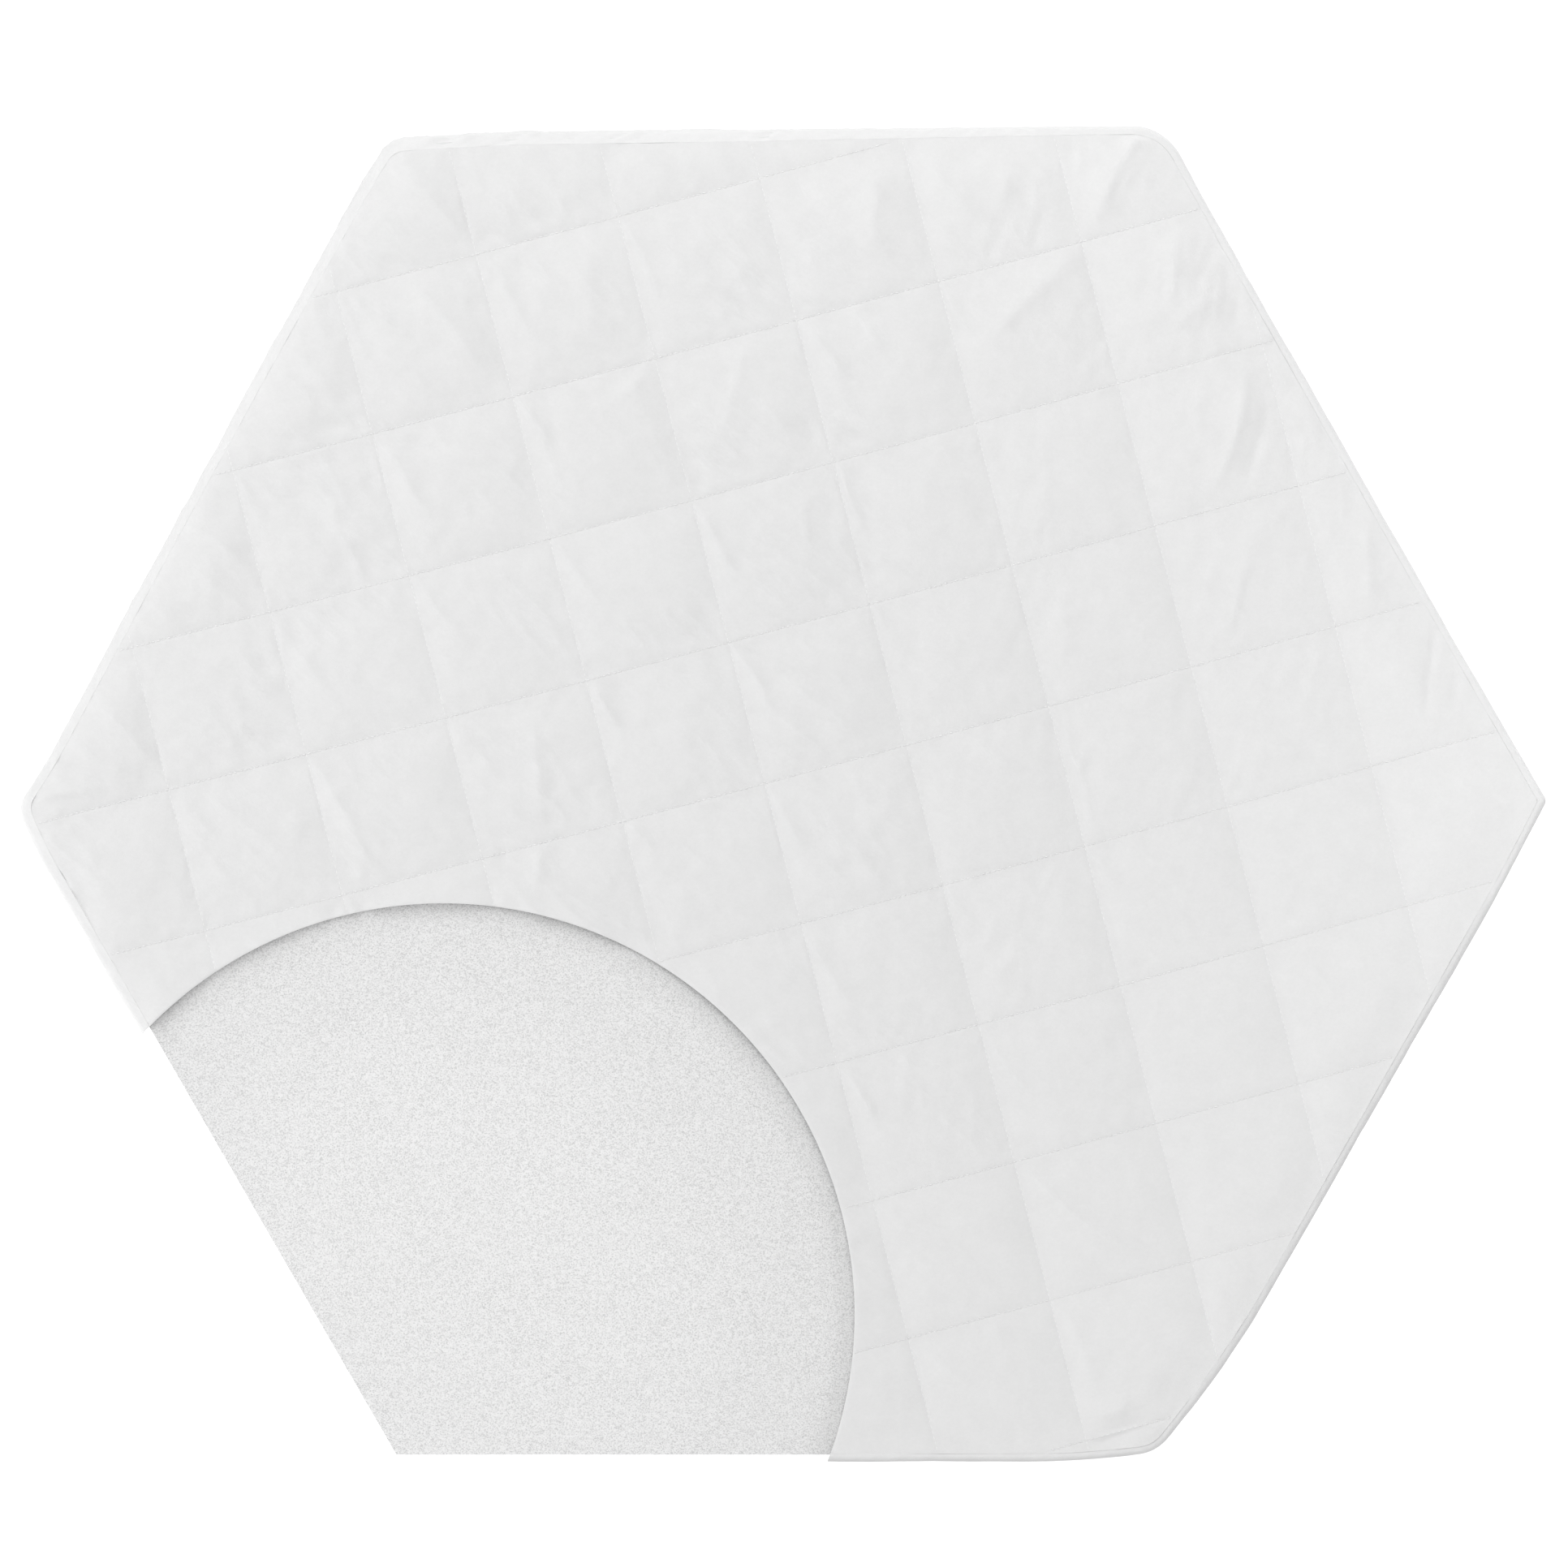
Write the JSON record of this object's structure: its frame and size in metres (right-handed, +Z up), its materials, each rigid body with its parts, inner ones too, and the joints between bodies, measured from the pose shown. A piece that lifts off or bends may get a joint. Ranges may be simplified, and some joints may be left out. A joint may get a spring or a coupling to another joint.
{
  "type": "playpen mattress",
  "caption": "Hexagonal playpen mattress: a foam slab in a quilted padded cover, with a round piece of the cover cut away at a corner to show the foam.",
  "frame": {"origin": "centre of the bounding box, on the surface that the mattress lies on", "axes": "+X from the left corner to the right corner, +Y towards the top side as seen from above, +Z up out of the quilted face"},
  "size_m": [1.1766, 1.0306, 0.0611],
  "materials": {
    "foam": "open-cell polyurethane foam, crisp cut faces with fine bright cells",
    "plain_cloth": "plain woven cotton blend, matte",
    "band_cloth": "padded plain woven cotton blend, matte, with fine pull wrinkles",
    "quilted_cloth": "soft brushed cotton blend over wadding, quilted in stitched squares, matte"
  },
  "bodies": {
    "root": {"foam_core": "foam", "bottom_panel": "plain_cloth", "side_band": "band_cloth", "top_panel": "quilted_cloth"}
  },
  "joints": []
}
